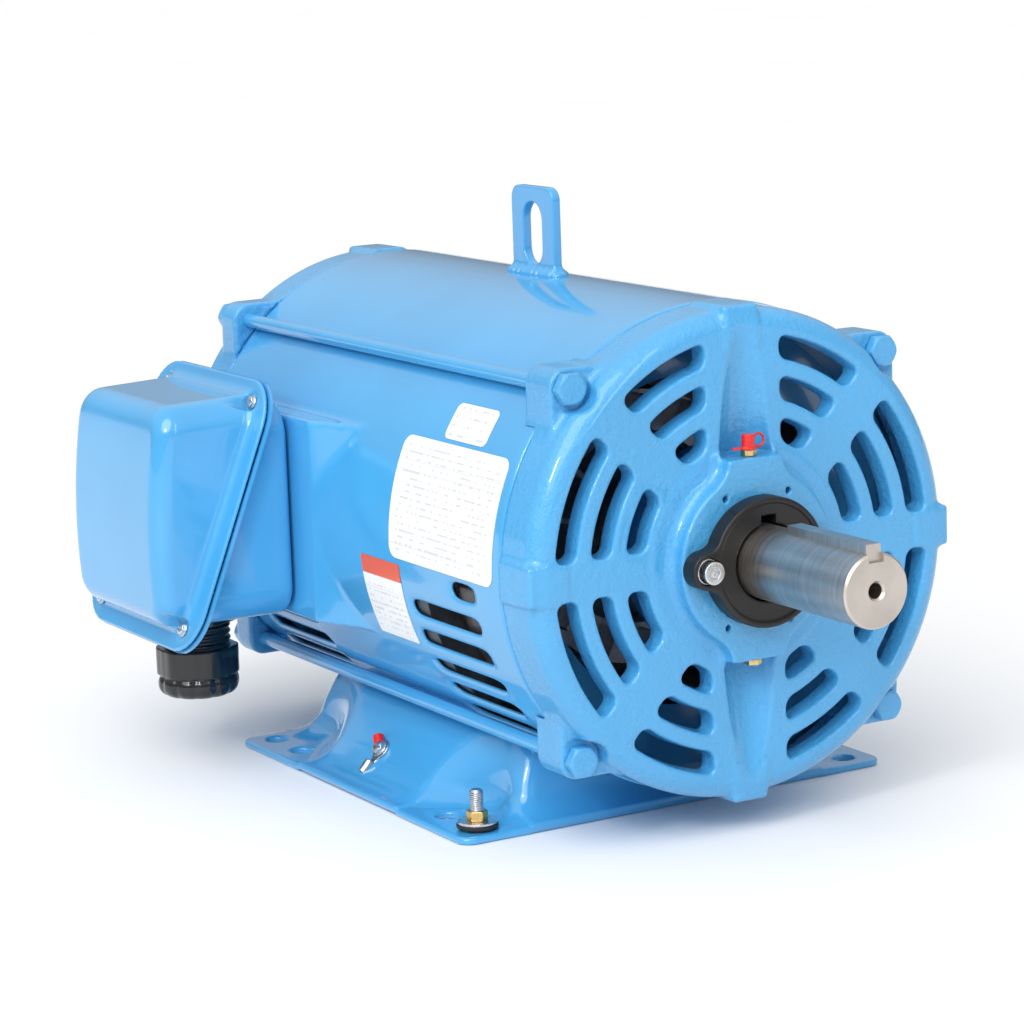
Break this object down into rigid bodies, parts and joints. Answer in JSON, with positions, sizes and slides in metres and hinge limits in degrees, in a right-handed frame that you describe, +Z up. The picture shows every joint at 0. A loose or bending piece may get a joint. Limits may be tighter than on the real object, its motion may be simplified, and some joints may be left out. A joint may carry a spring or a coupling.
{
  "type": "electric motor",
  "caption": "Foot-mounted open drip-proof electric motor with vented end shields, keyed shaft, side conduit box, cable gland and lifting lug.",
  "frame": {"origin": "centre of the foot-bolt pattern, on the plane the base rests on", "axes": "+X along the shaft towards the driven end, +Z up; the conduit box is on the -Y side"},
  "size_m": [0.5685, 0.3748, 0.351],
  "materials": {
    "blue_sheet": "gloss",
    "blue_casting": "gloss over a cast texture",
    "machined_steel": "turned",
    "lamination_steel": "dull",
    "copper_winding": "varnished enamel wire",
    "cast_aluminium": "as cast",
    "black_plastic": "moulded",
    "black_rubber": "matt",
    "zinc": "zinc plated",
    "yellow_zinc": "yellow passivated",
    "brass": "turned",
    "red_plastic": "moulded",
    "bearing_steel": "ground",
    "label_film": "printed film",
    "nylon": "glossy black, moulded"
  },
  "bodies": {
    "stator_frame": {"frame_shell": "blue_sheet", "lifting_lug": "blue_sheet", "motor_base": "blue_sheet", "drive_endshield": "blue_casting", "rear_endshield": "blue_casting", "drive_bearing_outer_race": "bearing_steel", "rear_bearing_outer_race": "bearing_steel", "stator_core": "lamination_steel", "stator_winding": "copper_winding", "drive_air_baffle": "blue_sheet", "rear_air_baffle": "blue_sheet", "wave_spring": "bearing_steel", "through_bolts": "blue_casting", "through_bolt_nuts": "blue_casting", "seal_cap": "black_plastic", "seal_cap_screws": "zinc", "drive_grease_nipple": "brass", "rear_grease_nipple": "brass", "drive_grease_cap": "red_plastic", "rear_grease_cap": "red_plastic", "drive_relief_plug": "brass", "rear_relief_plug": "brass", "conduit_box_base": "blue_sheet", "cover_gasket": "black_rubber", "box_gasket": "black_rubber", "conduit_box_cover": "blue_sheet", "cover_screws": "zinc", "gland_body": "nylon", "gland_locknut": "nylon", "gland_nut": "nylon", "gland_seal": "black_rubber", "box_screws": "zinc", "motor_leads": "black_rubber", "rating_label": "label_film", "info_label": "label_film", "notice_label": "label_film", "ground_terminal": "zinc", "ground_screw": "zinc", "stud_rubber_washer": "black_rubber", "stud_washer": "zinc", "stud_nut": "yellow_zinc", "foot_stud": "zinc"},
    "rotor": {"shaft": "machined_steel", "shaft_key": "machined_steel", "rotor_core": "lamination_steel", "rotor_cage": "cast_aluminium", "drive_bearing_inner_race": "bearing_steel", "rear_bearing_inner_race": "bearing_steel"},
    "drive_ball_set": {"drive_bearing_balls": "bearing_steel", "drive_bearing_cage": "bearing_steel"},
    "rear_ball_set": {"rear_bearing_balls": "bearing_steel", "rear_bearing_cage": "bearing_steel"}
  },
  "joints": [
    {"name": "rotor_spin", "type": "hinge", "parent": "stator_frame", "child": "rotor", "pos_m": [0, 0, 0.15875], "axis": [1, 0, 0], "continuous": true},
    {"name": "drive_balls_orbit", "type": "hinge", "parent": "stator_frame", "child": "drive_ball_set", "pos_m": [0.1945, 0, 0.15875], "axis": [1, 0, 0], "continuous": true},
    {"name": "rear_balls_orbit", "type": "hinge", "parent": "stator_frame", "child": "rear_ball_set", "pos_m": [-0.199, 0, 0.15875], "axis": [1, 0, 0], "continuous": true}
  ],
  "couplings": [
    {"joint": "drive_balls_orbit", "follows": "rotor_spin", "ratio": 0.382},
    {"joint": "rear_balls_orbit", "follows": "rotor_spin", "ratio": 0.397}
  ]
}
